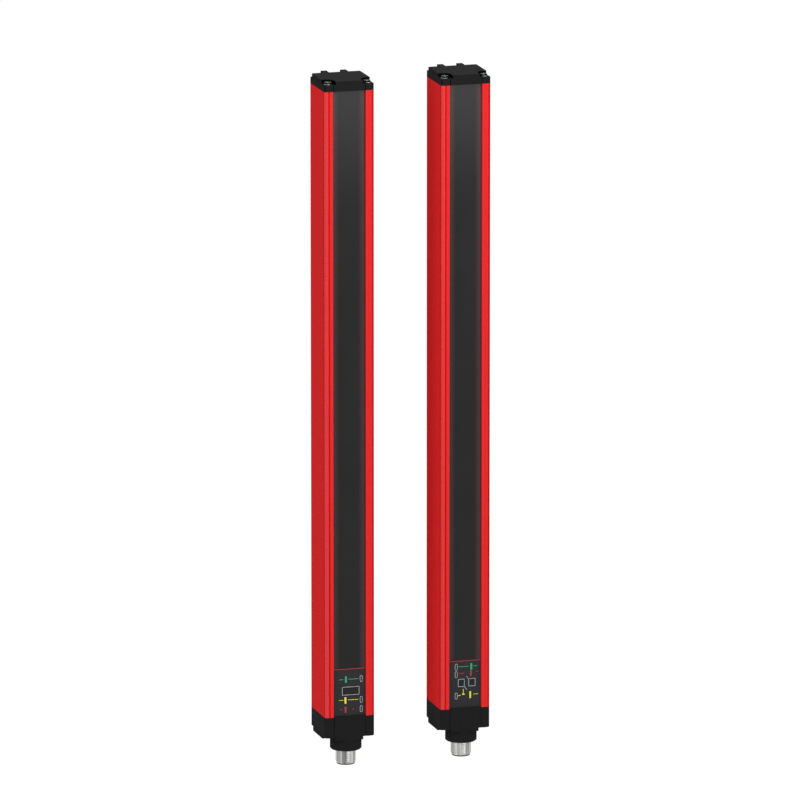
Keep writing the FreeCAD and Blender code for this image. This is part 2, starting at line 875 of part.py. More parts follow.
def make_pins(panel):
    """Gold contact pins, through the insert to the board above it."""
    count = panel["pins"]
    radius = pin_radius(count)
    z0 = insert_bottom - pin_reach
    return [rod(radius, x, y, z0, leads_board_z) for x, y in pin_places(count)]


def make_leads_board():
    """Small board that the pins are soldered to."""
    half = boss_side - leads_board_side_gap
    y0 = connector_y - leads_board_depth / 2
    return box(-half, half, y0, y0 + leads_board_depth, leads_board_z,
               leads_board_z + leads_board_thickness)


def make_flat_cable():
    """Flat flexible cable from the small board up to the main board."""
    z0 = leads_board_z + leads_board_thickness
    z_end = bottom + main_board_start + cable_end
    y_end = board_front
    y_start = connector_y + leads_board_depth / 2 - cable_start
    thin = cable_thickness
    path = [
        (y_start, z0, 0),
        (y_end, z0, cable_bend),
        (y_end, z_end, 0),
        (y_end - thin, z_end, 0),
        (y_end - thin, z0 + thin, cable_bend - thin),
        (y_start, z0 + thin, 0),
    ]
    return sideways(outline(path), -cable_width / 2, cable_width / 2)


# ---------------------------------------------------------------------------
# The two bars
# ---------------------------------------------------------------------------

def save(name, shape, x):
    """Write one node; a list is kept as a group of separate solids."""
    if isinstance(shape, list):
        shape = Part.makeCompound(shape)
    placed = shape.copy()
    placed.translate(V(x, 0, 0))
    placed.exportStep("parts/" + name + ".step")
    solids = len(placed.Solids)
    print(name, solids, "solids", round(placed.Volume, 1), "mm3", placed.isValid())


def make_bar(name, x, diode_name):
    """Every node of one bar."""
    panel = panels[name]
    pieces = {
        "housing": make_housing(),
        "window": make_pane(),
        "window_seals": make_window_seals(),
        "indicator_foil": make_foil(panel),
        "optics_carrier": make_carrier(),
        "lens_strip": make_lens_strip(),
        diode_name: make_diodes(),
        "end_pad": make_end_pad(),
        "main_board": make_main_board(),
        "control_chips": make_chips(),
        "earth_spring": make_earth_spring(),
        "panel_board": make_panel_board(),
        "board_header": make_header(),
        "panel_frame": make_panel_frame(panel),
        "light_guides": make_light_guides(panel),
        "status_lights": make_status_lights(panel),
        "digit_displays": make_displays(panel),
        "top_cap": make_top_cap(),
        "top_gasket": make_gasket(top),
        "top_screws": make_top_screws(),
        "bottom_cap": make_bottom_cap(),
        "bottom_gasket": make_gasket(bottom - gasket_thickness),
        "bottom_screws": make_bottom_screws(),
        "connector_shell": make_connector_shell(),
        "connector_seal": make_o_ring(),
        "connector_lock_nut": make_lock_nut(),
        "connector_insert": make_insert(panel),
        "connector_pins": make_pins(panel),
        "leads_board": make_leads_board(),
        "flat_cable": make_flat_cable(),
    }
    for piece, shape in pieces.items():
        save(name + "_" + piece, shape, x)


make_bar("receiver", 0.0, "photodiodes")
make_bar("emitter", bar_spacing, "infrared_diodes")
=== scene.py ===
# %% [markdown]
# # A safety light curtain, dressed in Blender
#
# A light curtain guards a machine with two upright bars. The emitter sends a row of
# infrared beams, and the receiver stops the machine when something breaks one.
# The solids of both bars come from the CAD model. This notebook gives them their
# finishes, and adds what is too fine for the solids: softened edges, screw threads and
# recesses, rounded pin tips, thin washers and the marks on the indicator panels.

# %% Load the CAD model as the fixed frame
import math
import bmesh
import bpy
import numpy as np
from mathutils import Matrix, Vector


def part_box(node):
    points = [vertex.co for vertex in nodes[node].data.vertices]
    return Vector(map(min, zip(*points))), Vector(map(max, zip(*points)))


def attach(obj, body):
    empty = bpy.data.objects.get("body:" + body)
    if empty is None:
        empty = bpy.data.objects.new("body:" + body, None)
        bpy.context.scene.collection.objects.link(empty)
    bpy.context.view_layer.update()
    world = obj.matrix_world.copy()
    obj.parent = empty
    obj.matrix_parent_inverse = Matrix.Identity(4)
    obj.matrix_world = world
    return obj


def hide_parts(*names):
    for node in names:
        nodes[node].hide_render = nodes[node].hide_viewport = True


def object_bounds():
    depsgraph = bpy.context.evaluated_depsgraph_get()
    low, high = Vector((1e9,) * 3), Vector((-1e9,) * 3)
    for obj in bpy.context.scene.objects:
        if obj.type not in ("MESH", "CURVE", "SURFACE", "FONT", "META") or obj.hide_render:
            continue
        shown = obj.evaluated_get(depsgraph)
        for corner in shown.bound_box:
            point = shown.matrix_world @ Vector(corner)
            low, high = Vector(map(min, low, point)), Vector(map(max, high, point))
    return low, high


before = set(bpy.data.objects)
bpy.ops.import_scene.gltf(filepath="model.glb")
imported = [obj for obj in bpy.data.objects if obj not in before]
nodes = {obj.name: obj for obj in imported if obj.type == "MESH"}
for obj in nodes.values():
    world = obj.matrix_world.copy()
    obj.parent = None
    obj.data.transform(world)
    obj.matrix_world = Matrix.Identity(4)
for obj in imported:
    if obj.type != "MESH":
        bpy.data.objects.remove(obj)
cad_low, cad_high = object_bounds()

MM = 0.001
bars = ("receiver", "emitter")
print("CAD nodes:", len(nodes))
print("size in mm:", [round(v / MM, 1) for v in cad_high - cad_low])

# %% [markdown]
# ## Where things are
#
# Each bar repeats the same sizes, so the places are read from the CAD pieces where
# that is simple, in metres. Sizes that only the new pieces have are named values in
# millimetres, and each stands in the cell that first needs it.

# %% Places on the two bars
def to_mm(value):
    """Metres to millimetres."""
    return value / MM


centre_x = {bar: sum(corner.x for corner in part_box(bar + "_housing")) / 2 for bar in bars}
bar_spacing = centre_x["emitter"] - centre_x["receiver"]
housing_low, housing_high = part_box("receiver_housing")
housing_bottom = housing_low.z
housing_top = housing_high.z
front_y = housing_low.y
foil_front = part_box("receiver_indicator_foil")[0].y
shell_low, shell_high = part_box("receiver_connector_shell")
connector_y = (shell_low.y + shell_high.y) / 2
collar_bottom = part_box("receiver_bottom_cap")[0].z
print("housing length in mm:", round(to_mm(housing_top - housing_bottom), 2))
print("bar spacing in mm:", round(to_mm(bar_spacing), 2))

# %% [markdown]
# ## The camera
#
# The bars are seen from far away with a long lens, so their upright edges stay
# almost parallel. The camera stands to the left of the fronts and a little above
# them. A unit vector from the object to the camera, worked out from the two angles,
# sets its place, and a track rotation makes it look back at the aim point.

# %% Place the camera
camera_azimuth = math.radians(16.19)
camera_elevation = math.radians(12.71)
camera_distance = 6.069
focal_length = 506.4
sensor_width = 36.0
view_limit = 60.0
aim = Vector((0.03107, -0.02182, -0.00093))

to_camera = Vector((
    -math.sin(camera_azimuth) * math.cos(camera_elevation),
    -math.cos(camera_azimuth) * math.cos(camera_elevation),
    math.sin(camera_elevation),
))
camera_data = bpy.data.cameras.new("camera")
camera_data.sensor_width = sensor_width
camera_data.lens = focal_length
camera_data.clip_end = view_limit
camera = bpy.data.objects.new("camera", camera_data)
camera.location = aim + to_camera * camera_distance
camera.rotation_euler = (-to_camera).to_track_quat("-Z", "Y").to_euler()
bpy.context.scene.collection.objects.link(camera)
bpy.context.scene.camera = camera
print("camera stands at", [round(v, 3) for v in camera.location])

# %% [markdown]
# ## Colour and shader nodes
#
# Colours are written as the hex values that a paint chart gives. Blender's shaders
# want linear light, so one function converts them. A second small function adds a
# shader node with its settings, its input values and its links in one call. Inputs
# are given by name or by number: on a Mix node for colours, number 0 is the share, 6
# and 7 are the two colours, and output 2 is the result.

# %% Helpers for colours and nodes
def linear(hex_code):
    """sRGB hex to linear RGBA: a straight part near black, then a power of 2.4."""
    levels = np.array([int(hex_code[i:i + 2], 16) for i in (1, 3, 5)]) / 255.0
    low = levels / 12.92
    high = ((levels + 0.055) / 1.055) ** 2.4
    return (*np.where(levels <= 0.04045, low, high).tolist(), 1.0)


def add(tree, kind, values=None, links=None, **options):
    """One shader node: options set properties, values set inputs, links join them."""
    node = tree.nodes.new(kind)
    for key, value in options.items():
        setattr(node, key, value)
    for key, value in (values or {}).items():
        node.inputs[key].default_value = value
    for key, output in (links or {}).items():
        tree.links.new(output, node.inputs[key])
    return node


def fresh_tree(owner):
    """The owner's node tree, emptied."""
    owner.use_nodes = True
    owner.node_tree.nodes.clear()
    return owner.node_tree


print("a mid grey in linear light:", round(linear("#808080")[0], 3))

# %% [markdown]
# ## A finish with grain
#
# No real surface is one flat colour. Moulded plastic has a fine spark-eroded grain,
# powder coat has an orange-peel ripple, and plated metal keeps turning marks. One
# function makes them all: a noise pattern whose cell size is given in millimetres
# mixes two close colours, moves the roughness a little, and lifts a shallow bump.
# A stretch factor pulls the pattern out along one axis for drawn or turned parts.
# Real moulded grain and turning marks are about 0.1 mm across, which is too fine to
# show from this far, so they are drawn several times as coarse.

# %% One function for grained finishes
noise_detail = 3.0
noise_roughness = 0.55
noise_low, noise_high = 0.3, 0.7


def finish(name, colours, roughness, grain_mm, relief_mm, stretch=(1.0, 1.0, 1.0),
           spread=0.08, **shader):
    """A principled surface whose colour, roughness and bump follow one noise.

    The noise scale is one over the grain size in metres. Nearly all of the noise lies
    between its low and its high value, and that range is spread from 0 to 1. Roughness
    runs from the stated value less the spread to the stated value plus the spread.
    """
    material = bpy.data.materials.new(name)
    tree = fresh_tree(material)
    place = add(tree, "ShaderNodeTexCoord")
    mapping = add(tree, "ShaderNodeMapping", {"Scale": stretch},
                  {"Vector": place.outputs["Object"]})
    noise = add(tree, "ShaderNodeTexNoise",
                {"Scale": 1.0 / (grain_mm * MM), "Detail": noise_detail,
                 "Roughness": noise_roughness},
                {"Vector": mapping.outputs["Vector"]})
    share = add(tree, "ShaderNodeMapRange",
                {"From Min": noise_low, "From Max": noise_high, "To Min": 0.0, "To Max": 1.0},
                {"Value": noise.outputs["Fac"]})
    tint = add(tree, "ShaderNodeMix", {6: linear(colours[0]), 7: linear(colours[1])},
               {0: share.outputs["Result"]}, data_type="RGBA")
    level = add(tree, "ShaderNodeMapRange",
                {"From Min": 0.0, "From Max": 1.0, "To Min": roughness - spread,
                 "To Max": roughness + spread},
                {"Value": share.outputs["Result"]})
    bump = add(tree, "ShaderNodeBump", {"Strength": 1.0, "Distance": relief_mm * MM},
               {"Height": noise.outputs["Fac"]})
    surface = add(tree, "ShaderNodeBsdfPrincipled", shader,
                  {"Base Color": tint.outputs[2], "Roughness": level.outputs["Result"],
                   "Normal": bump.outputs["Normal"]})
    add(tree, "ShaderNodeOutputMaterial", links={"Surface": surface.outputs["BSDF"]})
    return material


print("the noise from", noise_low, "to", noise_high, "drives colour and roughness")

# %% [markdown]
# ## The coat of the housing
#
# The housing is extruded aluminium with a red powder coat, which has a ripple of
# about a millimetre. It could be one material. But a rounding that turns to the light
# shows as a glossy line, and fine lines and recesses sink into shade, all of them
# thinner than a soft lamp can draw. So the coat comes in four versions, and a later
# cell says which faces take which. Three of them are painted highlight and shade.

# %% Four versions of one coat
no_gloss = {"Specular IOR Level": 0.0}

# Large faces: a soft, even red with no highlight.
red_powder_coat = finish(
    "red_powder_coat", ("#D92C2D", "#D1292A"), 0.45, 1.1, 0.004, spread=0.05, **no_gloss)
# Rounded edges: painted highlight, a smoother copy of the coat that catches a thin highlight.
painted_highlight_coat = finish(
    "red_powder_coat_painted_highlight", ("#CE2B2C", "#C8292A"), 0.30, 1.1, 0.004, spread=0.05,
    **{"Specular IOR Level": 0.30})
# A fine groove and the ends of the roundings: painted shade, a deeper red.
painted_shade_coat = finish(
    "red_powder_coat_painted_shade_in_lines", ("#C01618", "#B81315"), 0.50, 1.1, 0.004, spread=0.05,
    **no_gloss)
# Side walls of the window recess: painted shade, a dark brownish red.
painted_recess_shade_coat = finish(
    "red_powder_coat_painted_shade_in_recess", ("#6A2224", "#631F21"), 0.60, 1.1, 0.004, spread=0.05,
    **no_gloss)
print("coats:", [coat.name for coat in (red_powder_coat, painted_highlight_coat, painted_shade_coat, painted_recess_shade_coat)])

# %% [markdown]
# ## The caps and the window
#
# The caps are glass-filled nylon moulded in a textured tool. They are black and
# matte, and the texture scatters a faint sheen instead of a highlight. The window is
# smoked acrylic that passes infrared. It is polished and looks almost black. Light
# that really passes through it would cost many samples and show little but grain, so
# the pane is opaque here.

# %% Cap and window finishes
# Outer faces of the caps: a grey-black with a faint sheen where it turns away.
black_nylon = finish(
    "textured_black_nylon", ("#1B1B1B", "#202020"), 0.60, 0.45, 0.010,
    **{"Specular IOR Level": 0.0, "Sheen Weight": 0.033, "Sheen Roughness": 0.5})
# Walls round the top screws: painted shade, nearly black, with no sheen.
pocket_shade_nylon = finish(
    "black_nylon_painted_pocket_shade", ("#0A0A0A", "#0D0D0D"), 0.80, 0.45, 0.010, **no_gloss)
# The pane: smooth, with a clear but weak reflection.
smoked_acrylic = finish(
    "smoked_acrylic", ("#19191A", "#1C1C1D"), 0.16, 40.0, 0.002, spread=0.03,
    **{"IOR": 1.49, "Specular IOR Level": 0.175})
print("caps and window:", black_nylon.name, pocket_shade_nylon.name, smoked_acrylic.name)

# %% [markdown]
# ## What shows through the edges of the pane
#
# The pane looks almost black, but its pale sealing tape lies right behind its two long
# edges and shines through a little. The tint therefore grows warmer toward the edges.
# A ping-pong of x gives the distance from the nearer bar's centre line, so the same
# material serves both bars.

# %% Warm edges for the smoked acrylic
tint_start = 5.4
tint_end = 8.2

tree = smoked_acrylic.node_tree
surface = next(node for node in tree.nodes if node.type == "BSDF_PRINCIPLED")
middle_tint = surface.inputs["Base Color"].links[0].from_socket
place = add(tree, "ShaderNodeTexCoord")
axes = add(tree, "ShaderNodeSeparateXYZ", links={0: place.outputs["Object"]})
aside = add(tree, "ShaderNodeMath", {1: bar_spacing / 2}, {0: axes.outputs["X"]},
            operation="PINGPONG")
edge_share = add(tree, "ShaderNodeMapRange",
                 {"From Min": tint_start * MM, "From Max": tint_end * MM,
                  "To Min": 0.0, "To Max": 1.0},
                 {"Value": aside.outputs[0]})
edge_tint = add(tree, "ShaderNodeMix", {7: linear("#412A2C")},
                {0: edge_share.outputs["Result"], 6: middle_tint}, data_type="RGBA")
tree.links.new(edge_tint.outputs[2], surface.inputs["Base Color"])
print("pane tint runs from", tint_start, "mm to", tint_end, "mm off the centre line")

# %% [markdown]
# ## The finishes of the small parts
#
# Each small part starts from what it is: nickel-plated brass for the connector shell,
# zinc-plated steel for the screws, gold over brass for the pins, solder mask on glass
# fibre for the boards, and so on. Metals keep the default IOR. The turned shell gets
# broad streaks stretched along its axis, a painted reflection, and drawn wire a grain
# that is stretched less.

# %% Metal finishes
# Bright plating with broad grey streaks: a painted reflection of a dark and a light side.
nickel_plate = finish(
    "painted_reflection_nickel_plated_brass", ("#D6D6D5", "#565655"), 0.34, 1.6, 0.0002, (1.0, 1.0, 0.02),
    Metallic=1.0)
# Rim of the connector's tip: painted shade, a dark grey metal.
rim_shade_nickel = finish(
    "painted_shade_nickel_plate", ("#484847", "#3C3C3B"), 0.40, 0.8, 0.0005, Metallic=1.0)
# Cross recess of a screw: painted shade, nearly black, so that the cross reads from afar.
recess_shade_metal = finish(
    "painted_shade_in_screw_recess", ("#1C1C1D", "#252526"), 0.60, 0.5, 0.001, Metallic=1.0)
# A bluish grey metal with a soft highlight.
zinc_plate = finish(
    "zinc_plated_steel", ("#A2A4A6", "#8C8F92"), 0.32, 0.5, 0.001, Metallic=1.0)
# Warm yellow, fairly sharp reflections.
gold_plate = finish(
    "gold_plated_brass", ("#E3B85A", "#D2A445"), 0.24, 0.3, 0.001, (1.0, 1.0, 0.2),
    Metallic=1.0)
# Rolled strip: a cool grey with its grain along x.
spring_steel = finish(
    "spring_steel", ("#A9ACB0", "#8F9296"), 0.32, 0.4, 0.002, (1.0, 6.0, 6.0), Metallic=1.0)
print("metals:", [material.name for material in bpy.data.materials
                  if material.name.endswith(("brass", "plate", "steel"))])

# %% Plastic and rubber finishes
# Satin print on the back of a clear film: an even grey-black.
black_print_foil = finish(
    "printed_polyester_foil", ("#232325", "#28282A"), 0.42, 0.9, 0.002,
    **{"IOR": 1.57, "Specular IOR Level": 0.12})
# Dull black with hardly any highlight.
seal_rubber = finish(
    "black_silicone_rubber", ("#161617", "#1C1C1D"), 0.70, 0.6, 0.010,
    **{"Specular IOR Level": 0.2})
# A matte, pale and slightly open foam.
sealing_tape = finish(
    "pale_foam_sealing_tape", ("#DDB0B0", "#D6A9A9"), 0.80, 0.6, 0.010,
    **{"Specular IOR Level": 0.2})
# Dark moulded nylon, a little smoother than the caps.
insert_nylon = finish(
    "contact_insert_nylon", ("#1A1A1C", "#242426"), 0.50, 0.35, 0.006,
    **{"Specular IOR Level": 0.35})
# Plain moulded plastic, matte so that stray light dies out.
carrier_plastic = finish(
    "carrier_polycarbonate", ("#A88C8E", "#B09496"), 0.62, 0.8, 0.010,
    **{"Specular IOR Level": 0.3})
# Glossy and nearly black, since it passes only infrared.
lens_plastic = finish(
    "infrared_lens_acrylic", ("#1A1416", "#221A1C"), 0.10, 12.0, 0.001, spread=0.03,
    **{"IOR": 1.49})
# Soft, dull foam whose cut cells show as a coarse grain.
pad_foam = finish(
    "closed_cell_foam", ("#3A3B3D", "#2A2B2C"), 0.90, 0.9, 0.120,
    **{"Specular IOR Level": 0.2})
print("materials so far:", len(bpy.data.materials))

# %% Board, light and cable finishes
# Green lacquer over glass fibre, with a satin shine.
solder_mask = finish(
    "green_solder_mask", ("#1E6B3C", "#195A33"), 0.38, 1.6, 0.012, **{"IOR": 1.55})
# Grey-black chip packages, matte and finely grained.
chip_epoxy = finish(
    "moulded_epoxy", ("#1E1F21", "#28292B"), 0.55, 0.25, 0.008, **{"IOR": 1.55})
# A dark red filter in front of the digits.
display_filter = finish(
    "display_filter", ("#301316", "#3B171B"), 0.22, 3.0, 0.002, **{"IOR": 1.5})
# Clear moulded rods that carry the light to the foil.
clear_guide = finish(
    "clear_light_guide", ("#C9CFD2", "#DDE2E4"), 0.12, 6.0, 0.001, spread=0.03,
    **{"IOR": 1.49, "Alpha": 0.45})
# Milky diodes with a smooth skin.
diode_epoxy = finish(
    "pale_diode_epoxy", ("#D9D8C8", "#C9C8B6"), 0.25, 1.0, 0.002, **{"IOR": 1.5})
# Amber film with fine lines along the cable.
cable_film = finish(
    "polyimide_film", ("#B8701F", "#A5611A"), 0.30, 1.2, 0.004, (1.0, 0.2, 0.2),
    **{"IOR": 1.7})
print("materials so far:", len(bpy.data.materials))

# %% [markdown]
# ## Dress the CAD pieces
#
# A CAD node whose shape is right stays as it is and only gets its finish. The table
# pairs each kind of node with a finish, and both bars use it.

# %% Finishes for the CAD nodes
node_finishes = {
    "housing": red_powder_coat, "window": smoked_acrylic, "window_seals": sealing_tape,
    "indicator_foil": black_print_foil, "optics_carrier": carrier_plastic,
    "lens_strip": lens_plastic, "photodiodes": diode_epoxy,
    "infrared_diodes": diode_epoxy, "end_pad": pad_foam, "main_board": solder_mask,
    "control_chips": chip_epoxy, "earth_spring": spring_steel,
    "panel_board": solder_mask, "board_header": chip_epoxy,
    "panel_frame": carrier_plastic, "light_guides": clear_guide,
    "status_lights": diode_epoxy, "digit_displays": display_filter,
    "top_cap": black_nylon, "bottom_cap": black_nylon, "top_gasket": seal_rubber,
    "bottom_gasket": seal_rubber, "top_screws": zinc_plate,
    "bottom_screws": zinc_plate, "connector_shell": nickel_plate,
    "connector_seal": seal_rubber, "connector_lock_nut": nickel_plate,
    "connector_insert": insert_nylon, "connector_pins": gold_plate,
    "leads_board": solder_mask, "flat_cable": cable_film,
}
for name, node in nodes.items():
    kind = name.split("_", 1)[1]
    node.data.materials.clear()
    node.data.materials.append(node_finishes[kind])
print("dressed CAD nodes:", len(nodes))

# %% [markdown]
# ## Meshes from arrays
#
# New pieces are computed as whole arrays. A sheet is a grid of points that two
# parameters run over. Its faces join each point to its neighbours, and either
# direction can close on itself. Several sheets can share one mesh. Where a face needs
# another finish than the rest, a zone gives it: a second material, and a rule that
# looks at all the faces at once and says which of them take it.

# %% Sheets of points
def sheet(points, wrap_u=False, wrap_v=False):
    """Vertices and quads of a grid: corners are (u, v), (u+1, v), (u+1, v+1), (u, v+1)."""
    count_u, count_v = points.shape[:2]
    index = np.arange(count_u * count_v).reshape(count_u, count_v)
    if wrap_u:
        index = np.vstack([index, index[:1]])
    if wrap_v:
        index = np.hstack([index, index[:, :1]])
    quads = np.stack([index[:-1, :-1], index[1:, :-1], index[1:, 1:], index[:-1, 1:]], -1)
    return points.reshape(-1, 3), quads.reshape(-1, 4)


print("quads in a closed sheet of 4 by 3 points:", len(sheet(np.zeros((4, 3, 3)), True, True)[1]))

# %% Sheets to one object
pole_gap = 1e-7


def build(name, sheets, material, sharp_degrees=32.0, zone=None):
    """One closed object from sheets in millimetres, with doubles merged at its poles.

    A zone is a second material and a rule on the faces' centres in millimetres.
    """
    starts = np.cumsum([0] + [len(points) for points, _ in sheets[:-1]])
    points = np.vstack([points for points, _ in sheets]) * MM
    quads = np.vstack([quads + start for (_, quads), start in zip(sheets, starts)])
    mesh = bpy.data.meshes.new(name)
    mesh.from_pydata(points.tolist(), [], quads.tolist())
    work = bmesh.new()
    work.from_mesh(mesh)
    bmesh.ops.remove_doubles(work, verts=work.verts, dist=pole_gap)
    bmesh.ops.recalc_face_normals(work, faces=work.faces)
    work.to_mesh(mesh)
    work.free()
    mesh.polygons.foreach_set("use_smooth", np.ones(len(mesh.polygons), bool))
    mesh.set_sharp_from_angle(angle=math.radians(sharp_degrees))
    mesh.materials.append(material)
    if zone is not None:
        zone_material, rule = zone
        centres = np.empty(len(mesh.polygons) * 3)
        mesh.polygons.foreach_get("center", centres)
        mesh.materials.append(zone_material)
        slots = rule(centres.reshape(-1, 3) / MM).astype(np.int32)
        mesh.polygons.foreach_set("material_index", slots)
        print(name, zone_material.name, "on", int(slots.sum()), "faces")
    piece = bpy.data.objects.new(name, mesh)
    bpy.context.scene.collection.objects.link(piece)
    print(name, len(mesh.polygons), "faces,", len(sheets), "sheets")
    return piece


# %% [markdown]
# ## Softened edges on the housing and caps
#
# A coated extrusion and a moulded cap have no knife edges. The bevel modifier takes a
# little off each sharp edge, and that thin band catches the light. The CAD mesh is
# never changed, so each piece is a copy of it: its doubles are merged, the triangles
# of each flat face are joined, and the bevel follows.

# %% Bevelled copies of CAD pieces
corner_gap = 2e-6
flat_degrees = 0.6
smooth_degrees = 30
bevel_degrees = 35


def softened(node_name, width_mm, material, zones=()):
    """A copy of a CAD node with merged points, joined flats and a bevel.

    A zone is a material and a rule. The rule gets every face's centre, in millimetres
    from the bar's centre line, and its normal, and says which faces take the material.
    """
    mesh = nodes[node_name].data.copy()
    work = bmesh.new()
    work.from_mesh(mesh)
    bmesh.ops.remove_doubles(work, verts=work.verts, dist=corner_gap)
    bmesh.ops.dissolve_limit(work, angle_limit=math.radians(flat_degrees),
                             verts=work.verts, edges=work.edges)
    work.to_mesh(mesh)
    work.free()
    mesh.polygons.foreach_set("use_smooth", np.ones(len(mesh.polygons), bool))
    mesh.set_sharp_from_angle(angle=math.radians(smooth_degrees))
    mesh.materials.clear()
    mesh.materials.append(material)
    flat = np.empty((2, len(mesh.polygons) * 3))
    mesh.polygons.foreach_get("center", flat[0])
    mesh.polygons.foreach_get("normal", flat[1])
    centres, normals = flat.reshape(2, -1, 3)
    centres = centres / MM - [to_mm(centre_x[node_name.split("_")[0]]), 0.0, 0.0]
    slots = np.zeros(len(mesh.polygons), np.int32)
    for number, (zone_material, rule) in enumerate(zones, 1):
        mesh.materials.append(zone_material)
        chosen = rule(centres, normals)
        slots[chosen] = number
        print(node_name, zone_material.name, "on", int(chosen.sum()), "faces")
    mesh.polygons.foreach_set("material_index", slots)
    piece = bpy.data.objects.new(node_name + "_soft", mesh)
    bpy.context.scene.collection.objects.link(piece)
    bevel = piece.modifiers.new("soft edges", "BEVEL")
    bevel.width = width_mm * MM
    bevel.segments = 2
    bevel.limit_method = "ANGLE"
    bevel.angle_limit = math.radians(bevel_degrees)
    bevel.harden_normals = True
    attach(piece, "root")
    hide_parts(node_name)
    print(piece.name, len(mesh.polygons), "faces before its bevel")
    return piece


# %% [markdown]
# ## Zones of light and shade on the housing
#
# The front of the housing has two flat strips, each with a rounded outer corner and
# a fine groove beside it, and the window recess between them. The corner facets are
# told apart by the angle that their normal makes with the front. Near the front a
# corner takes a painted highlight, and its last facets a painted shade of deep red.
# The left corner turns to the light and the right one away from it, so the painted
# shade starts earlier on the right, and the painted highlight and the groove's painted
# shade are drawn on the left only.

# %% Sizes that the zones go by, in millimetres from the centre line and the front
half_width = 14.0
corner_radius = 2.1
strip_width = 4.9
strip_edge = half_width - strip_width
groove_margin = 0.1
groove_width = 0.9
groove_outer = half_width - corner_radius - groove_margin
groove_inner = groove_outer - groove_width
groove_shallow, groove_deep = 0.02, 0.4
rounding_reach = 0.35
recess_wall_play = 0.05
recess_wall_depth = 2.0
front = to_mm(front_y)
print("strip edge and groove in mm:", round(strip_edge, 2), round(groove_inner, 2),
      round(groove_outer, 2))

# %% Angles from the front, in degrees
gloss_from, gloss_to = 2, 68
deep_from_left, deep_from_right, deep_to = 68, 20, 89
rounding_from, rounding_to = 5, 85

# Parts of a unit normal: how far up an upright face may look, how far aside a side
# wall does, and how far up a steep one may.
upright_limit = 0.1
sideways_limit = 0.9
steep_limit = 0.5


def facing_angle(normals):
    """Degrees between a face's normal and the front, as seen from above."""
    return np.degrees(np.arctan2(np.abs(normals[:, 0]), -normals[:, 1]))


def upright(normals):
    """Faces that run along the bar: their normals have almost no upward part."""
    return np.abs(normals[:, 2]) < upright_limit


print("a normal halfway round a corner faces",
      round(float(facing_angle(np.array([[1.0, -1.0, 0.0]]))[0])), "degrees aside")

# %% Rules for the housing
def on_corner(centres, normals, low, high):
    """Facets of the two rounded front corners whose angle lies between two limits."""
    angle = facing_angle(normals)
    near = ((np.abs(centres[:, 0]) > half_width - corner_radius)
            & (centres[:, 1] < front + corner_radius))
    return near & upright(normals) & (angle > low) & (angle < high)


def painted_highlight_zone(centres, normals):
    """Painted highlight: the rounded left corner, and the small roundings beside the window."""
    angle = facing_angle(normals)
    beside_window = ((np.abs(np.abs(centres[:, 0]) - strip_edge) < rounding_reach)
                     & (centres[:, 1] < front + rounding_reach)
                     & upright(normals) & (angle > rounding_from) & (angle < rounding_to))
    left_side = centres[:, 0] < 0
    return (on_corner(centres, normals, gloss_from, gloss_to) & left_side) | beside_window


def painted_shade_zone(centres, normals):
    """Painted shade: the last facets of both corners, and the fine groove of the left strip."""
    across = np.abs(centres[:, 0])
    left_side = centres[:, 0] < 0
    groove = ((across > groove_inner) & (across < groove_outer) & upright(normals)
              & (centres[:, 1] > front + groove_shallow)
              & (centres[:, 1] < front + groove_deep) & left_side)
    first = np.where(left_side, deep_from_left, deep_from_right)
    return on_corner(centres, normals, first, deep_to) | groove


def painted_recess_shade_zone(centres, normals):
    """Painted shade: the two side walls of the window recess, which lie in their own shade."""
    across = np.abs(centres[:, 0])
    return ((np.abs(across - strip_edge) < recess_wall_play)
            & (np.abs(normals[:, 0]) > sideways_limit)
            & (centres[:, 1] < front + recess_wall_depth))


coat_zones = [(painted_highlight_coat, painted_highlight_zone), (painted_shade_coat, painted_shade_zone), (painted_recess_shade_coat, painted_recess_shade_zone)]
print("zones on the housing:", len(coat_zones))

# %% [markdown]
# ## Pockets of the top caps, and the six softened pieces
#
# Each screw of a cap stands in a pocket. The pocket's walls get little light, so in
# the top caps they take a darker nylon: painted shade. The rule picks the steep faces
# near a screw, behind the cap's outer faces and above its flat plate.

# %% Pocket rule and softened pieces
screw_x, screw_y = 10.9, -28.1
pocket_reach = 4.3
outer_wall = 0.4
plate_thickness = 0.6
housing_bevel = 0.10
cap_bevel = 0.18


def pocket_shade_zone(centres, normals):
    """Painted shade: steep faces within reach of a screw's axis, inside the cap's outer walls."""
    reach = np.hypot(np.abs(centres[:, 0]) - screw_x, centres[:, 1] - screw_y)
    inside = ((np.abs(centres[:, 0]) < half_width - outer_wall)
              & (centres[:, 1] > front + outer_wall))
    beyond = np.abs(centres[:, 2]) > to_mm(housing_top) + plate_thickness
    steep = np.abs(normals[:, 2]) < steep_limit
    return inside & beyond & steep & (reach < pocket_reach)


for bar in bars:
    softened(bar + "_housing", housing_bevel, red_powder_coat, coat_zones)
    softened(bar + "_top_cap", cap_bevel, black_nylon, [(pocket_shade_nylon, pocket_shade_zone)])
    softened(bar + "_bottom_cap", cap_bevel, black_nylon)

# %% [markdown]
# ## The threaded connector shell
#
# The shell is turned from brass: a flange inside the collar, a plain neck, the thread
# and a plain tip with a deep mouth for the pins. It could be a lathe profile with a
# screw modifier, but one array does it all: a profile of radius against height is
# carried round the axis, and on the threaded rows the radius also follows a wave that
# climbs one pitch in each turn. The rim of the tip is a zone of darker metal: painted
# shade.

